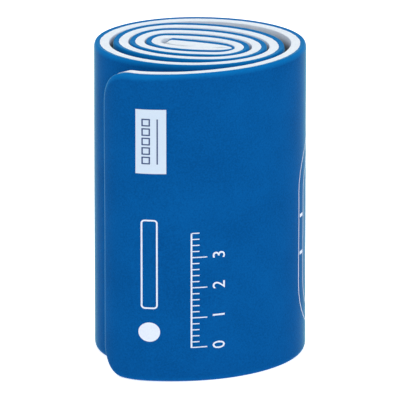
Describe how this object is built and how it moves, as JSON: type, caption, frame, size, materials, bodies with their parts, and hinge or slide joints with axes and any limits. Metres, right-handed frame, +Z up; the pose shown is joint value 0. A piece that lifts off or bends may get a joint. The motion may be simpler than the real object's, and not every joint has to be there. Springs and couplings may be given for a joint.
{
  "type": "padded splint",
  "caption": "Padded splint: a long strip of two bonded foams, blue outside and white inside, wound into an upright roll with a loose outer flap and a small label.",
  "frame": {"origin": "on the floor, under the middle of the roll's bounding box", "axes": "+Z up along the roll's axis, +X to the right and +Y to the back, seen from the side where the flap ends at the front left"},
  "size_m": [0.0678, 0.0716, 0.1016],
  "materials": {
    "blue_foam": "matt closed-cell foam skin, faintly mottled",
    "white_foam": "matt cut closed-cell foam",
    "label": "smooth pale label stock"
  },
  "bodies": {
    "root": {"blue_foam": "blue_foam", "white_foam": "white_foam", "label": "label"}
  },
  "joints": []
}
